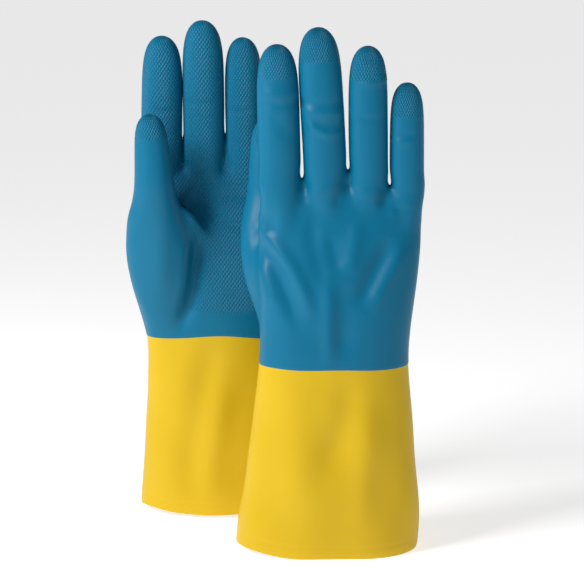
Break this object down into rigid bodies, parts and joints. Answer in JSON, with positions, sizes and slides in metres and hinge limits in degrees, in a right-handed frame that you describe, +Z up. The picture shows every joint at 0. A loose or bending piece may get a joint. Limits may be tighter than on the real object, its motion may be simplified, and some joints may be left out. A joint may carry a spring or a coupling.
{
  "type": "pair of long-cuff rubber gloves",
  "caption": "Pair of flock-lined rubber gauntlet gloves, two-colour dip, with cuffs, wrists, fingers and thumbs that bend.",
  "frame": {"origin": "on the floor, at the middle of the area that the pair covers", "axes": "+Z up from the cuffs' edges to the fingertips, -Y towards the right glove, +X from the left glove's side to the right glove's side"},
  "size_m": [0.1858, 0.157, 0.319],
  "materials": {
    "neoprene": "satin blue neoprene over-dip, moulded with a fine diamond grip on the palm side",
    "latex": "satin yellow natural latex, softly creased",
    "flock": "matt off-white cotton flock"
  },
  "bodies": {
    "left_cuff": {"left_cuff": "latex", "left_cuff_lining": "flock"},
    "left_hand": {"left_hand": "neoprene", "left_hand_lining": "flock"},
    "left_index_base": {"left_index_base": "neoprene"},
    "left_index_mid": {"left_index_mid": "neoprene"},
    "left_index_tip": {"left_index_tip": "neoprene"},
    "left_middle_base": {"left_middle_base": "neoprene"},
    "left_middle_mid": {"left_middle_mid": "neoprene"},
    "left_middle_tip": {"left_middle_tip": "neoprene"},
    "left_ring_base": {"left_ring_base": "neoprene"},
    "left_ring_mid": {"left_ring_mid": "neoprene"},
    "left_ring_tip": {"left_ring_tip": "neoprene"},
    "left_little_base": {"left_little_base": "neoprene"},
    "left_little_mid": {"left_little_mid": "neoprene"},
    "left_little_tip": {"left_little_tip": "neoprene"},
    "left_thumb_base": {"left_thumb_base": "neoprene"},
    "left_thumb_tip": {"left_thumb_tip": "neoprene"},
    "right_cuff": {"right_cuff": "latex", "right_cuff_lining": "flock"},
    "right_hand": {"right_hand": "neoprene", "right_hand_lining": "flock"},
    "right_index_base": {"right_index_base": "neoprene"},
    "right_index_mid": {"right_index_mid": "neoprene"},
    "right_index_tip": {"right_index_tip": "neoprene"},
    "right_middle_base": {"right_middle_base": "neoprene"},
    "right_middle_mid": {"right_middle_mid": "neoprene"},
    "right_middle_tip": {"right_middle_tip": "neoprene"},
    "right_ring_base": {"right_ring_base": "neoprene"},
    "right_ring_mid": {"right_ring_mid": "neoprene"},
    "right_ring_tip": {"right_ring_tip": "neoprene"},
    "right_little_base": {"right_little_base": "neoprene"},
    "right_little_mid": {"right_little_mid": "neoprene"},
    "right_little_tip": {"right_little_tip": "neoprene"},
    "right_thumb_base": {"right_thumb_base": "neoprene"},
    "right_thumb_tip": {"right_thumb_tip": "neoprene"}
  },
  "joints": [
    {"name": "right_glove_lift", "type": "slide", "parent": "left_cuff", "child": "right_cuff", "axis": [0, 0, 1], "range_m": [0, 0.35]},
    {"name": "left_wrist", "type": "hinge", "parent": "left_cuff", "child": "left_hand", "pos_m": [-0.03345, 0.0455, 0.126], "axis": [1, 0, 0], "range_deg": [-30, 15], "stiffness_Nm_per_rad": 0.4},
    {"name": "left_index_base_knuckle", "type": "hinge", "parent": "left_hand", "child": "left_index_base", "pos_m": [-0.07068, 0.0455, 0.23829], "axis": [0.9976, 0, -0.0695], "range_deg": [0, 30], "stiffness_Nm_per_rad": 0.02},
    {"name": "left_index_mid_knuckle", "type": "hinge", "parent": "left_index_base", "child": "left_index_mid", "pos_m": [-0.07025, 0.0455, 0.26294], "axis": [0.9976, 0, -0.0695], "range_deg": [0, 48], "stiffness_Nm_per_rad": 0.02},
    {"name": "left_index_tip_knuckle", "type": "hinge", "parent": "left_index_mid", "child": "left_index_tip", "pos_m": [-0.06986, 0.0455, 0.28556], "axis": [0.9976, 0, -0.0695], "range_deg": [0, 32], "stiffness_Nm_per_rad": 0.02},
    {"name": "left_middle_base_knuckle", "type": "hinge", "parent": "left_hand", "child": "left_middle_base", "pos_m": [-0.04354, 0.0455, 0.24122], "axis": [0.9991, 0, -0.0435], "range_deg": [0, 50], "stiffness_Nm_per_rad": 0.02},
    {"name": "left_middle_mid_knuckle", "type": "hinge", "parent": "left_middle_base", "child": "left_middle_mid", "pos_m": [-0.04378, 0.0455, 0.26834], "axis": [0.9991, 0, -0.0435], "range_deg": [0, 90], "stiffness_Nm_per_rad": 0.02},
    {"name": "left_middle_tip_knuckle", "type": "hinge", "parent": "left_middle_mid", "child": "left_middle_tip", "pos_m": [-0.044, 0.0455, 0.29324], "axis": [0.9991, 0, -0.0435], "range_deg": [0, 60], "stiffness_Nm_per_rad": 0.02},
    {"name": "left_ring_base_knuckle", "type": "hinge", "parent": "left_hand", "child": "left_ring_base", "pos_m": [-0.01809, 0.0455, 0.2382], "axis": [0.9997, 0, -0.0261], "range_deg": [0, 50], "stiffness_Nm_per_rad": 0.02},
    {"name": "left_ring_mid_knuckle", "type": "hinge", "parent": "left_ring_base", "child": "left_ring_mid", "pos_m": [-0.01873, 0.0455, 0.26259], "axis": [0.9997, 0, -0.0261], "range_deg": [0, 90], "stiffness_Nm_per_rad": 0.02},
    {"name": "left_ring_tip_knuckle", "type": "hinge", "parent": "left_ring_mid", "child": "left_ring_tip", "pos_m": [-0.01932, 0.0455, 0.28498], "axis": [0.9997, 0, -0.0261], "range_deg": [0, 60], "stiffness_Nm_per_rad": 0.02},
    {"name": "left_little_base_knuckle", "type": "hinge", "parent": "left_hand", "child": "left_little_base", "pos_m": [0.0056, 0.0455, 0.23125], "axis": [1, 0, -0.0087], "range_deg": [0, 50], "stiffness_Nm_per_rad": 0.02},
    {"name": "left_little_mid_knuckle", "type": "hinge", "parent": "left_little_base", "child": "left_little_mid", "pos_m": [0.00476, 0.0455, 0.25046], "axis": [1, 0, -0.0087], "range_deg": [0, 90], "stiffness_Nm_per_rad": 0.02},
    {"name": "left_little_tip_knuckle", "type": "hinge", "parent": "left_little_mid", "child": "left_little_tip", "pos_m": [0.00399, 0.0455, 0.2681], "axis": [1, 0, -0.0087], "range_deg": [0, 60], "stiffness_Nm_per_rad": 0.02},
    {"name": "left_thumb_base_knuckle", "type": "hinge", "parent": "left_hand", "child": "left_thumb_base", "pos_m": [-0.07506, 0.0115, 0.214], "axis": [0.0018, -0.9994, -0.0349], "range_deg": [-40, 20], "stiffness_Nm_per_rad": 0.02},
    {"name": "left_thumb_tip_knuckle", "type": "hinge", "parent": "left_thumb_base", "child": "left_thumb_tip", "pos_m": [-0.07642, 0.01059, 0.23998], "axis": [0.0018, -0.9994, -0.0349], "range_deg": [-60, 0], "stiffness_Nm_per_rad": 0.02},
    {"name": "right_wrist", "type": "hinge", "parent": "right_cuff", "child": "right_hand", "pos_m": [0.03815, -0.0455, 0.126], "axis": [1, 0, 0], "range_deg": [-15, 30], "stiffness_Nm_per_rad": 0.4},
    {"name": "right_index_base_knuckle", "type": "hinge", "parent": "right_hand", "child": "right_index_base", "pos_m": [0.00599, -0.0455, 0.23831], "axis": [-0.9998, 0, -0.0175], "range_deg": [0, 30], "stiffness_Nm_per_rad": 0.02},
    {"name": "right_index_mid_knuckle", "type": "hinge", "parent": "right_index_base", "child": "right_index_mid", "pos_m": [0.00556, -0.0455, 0.26301], "axis": [-0.9998, 0, -0.0175], "range_deg": [0, 48], "stiffness_Nm_per_rad": 0.02},
    {"name": "right_index_tip_knuckle", "type": "hinge", "parent": "right_index_mid", "child": "right_index_tip", "pos_m": [0.00516, -0.0455, 0.28569], "axis": [-0.9998, 0, -0.0175], "range_deg": [0, 32], "stiffness_Nm_per_rad": 0.02},
    {"name": "right_middle_base_knuckle", "type": "hinge", "parent": "right_hand", "child": "right_middle_base", "pos_m": [0.03303, -0.0455, 0.24122], "axis": [-0.9981, 0, -0.061], "range_deg": [0, 50], "stiffness_Nm_per_rad": 0.02},
    {"name": "right_middle_mid_knuckle", "type": "hinge", "parent": "right_middle_base", "child": "right_middle_mid", "pos_m": [0.03137, -0.0455, 0.26831], "axis": [-0.9981, 0, -0.061], "range_deg": [0, 90], "stiffness_Nm_per_rad": 0.02},
    {"name": "right_middle_tip_knuckle", "type": "hinge", "parent": "right_middle_mid", "child": "right_middle_tip", "pos_m": [0.02985, -0.0455, 0.29318], "axis": [-0.9981, 0, -0.061], "range_deg": [0, 60], "stiffness_Nm_per_rad": 0.02},
    {"name": "right_ring_base_knuckle", "type": "hinge", "parent": "right_hand", "child": "right_ring_base", "pos_m": [0.05915, -0.0455, 0.2382], "axis": [-1, 0, 0], "range_deg": [0, 50], "stiffness_Nm_per_rad": 0.02},
    {"name": "right_ring_mid_knuckle", "type": "hinge", "parent": "right_ring_base", "child": "right_ring_mid", "pos_m": [0.05915, -0.0455, 0.2626], "axis": [-1, 0, 0], "range_deg": [0, 90], "stiffness_Nm_per_rad": 0.02},
    {"name": "right_ring_tip_knuckle", "type": "hinge", "parent": "right_ring_mid", "child": "right_ring_tip", "pos_m": [0.05915, -0.0455, 0.285], "axis": [-1, 0, 0], "range_deg": [0, 60], "stiffness_Nm_per_rad": 0.02},
    {"name": "right_little_base_knuckle", "type": "hinge", "parent": "right_hand", "child": "right_little_base", "pos_m": [0.08265, -0.0455, 0.23125], "axis": [-1, 0, 0], "range_deg": [0, 50], "stiffness_Nm_per_rad": 0.02},
    {"name": "right_little_mid_knuckle", "type": "hinge", "parent": "right_little_base", "child": "right_little_mid", "pos_m": [0.08265, -0.0455, 0.25046], "axis": [-1, 0, 0], "range_deg": [0, 90], "stiffness_Nm_per_rad": 0.02},
    {"name": "right_little_tip_knuckle", "type": "hinge", "parent": "right_little_mid", "child": "right_little_tip", "pos_m": [0.08265, -0.0455, 0.2681], "axis": [-1, 0, 0], "range_deg": [0, 60], "stiffness_Nm_per_rad": 0.02},
    {"name": "right_thumb_base_knuckle", "type": "hinge", "parent": "right_hand", "child": "right_thumb_base", "pos_m": [0.00115, -0.0115, 0.214], "axis": [0, -0.9994, 0.0349], "range_deg": [-40, 20], "stiffness_Nm_per_rad": 0.02},
    {"name": "right_thumb_tip_knuckle", "type": "hinge", "parent": "right_thumb_base", "child": "right_thumb_tip", "pos_m": [0.00115, -0.01059, 0.23998], "axis": [0, -0.9994, 0.0349], "range_deg": [-60, 0], "stiffness_Nm_per_rad": 0.02}
  ],
  "couplings": [
    {"joint": "left_index_tip_knuckle", "follows": "left_index_mid_knuckle", "ratio": 0.66667},
    {"joint": "left_middle_tip_knuckle", "follows": "left_middle_mid_knuckle", "ratio": 0.66667},
    {"joint": "left_ring_tip_knuckle", "follows": "left_ring_mid_knuckle", "ratio": 0.66667},
    {"joint": "left_little_tip_knuckle", "follows": "left_little_mid_knuckle", "ratio": 0.66667},
    {"joint": "right_index_tip_knuckle", "follows": "right_index_mid_knuckle", "ratio": 0.66667},
    {"joint": "right_middle_tip_knuckle", "follows": "right_middle_mid_knuckle", "ratio": 0.66667},
    {"joint": "right_ring_tip_knuckle", "follows": "right_ring_mid_knuckle", "ratio": 0.66667},
    {"joint": "right_little_tip_knuckle", "follows": "right_little_mid_knuckle", "ratio": 0.66667}
  ]
}
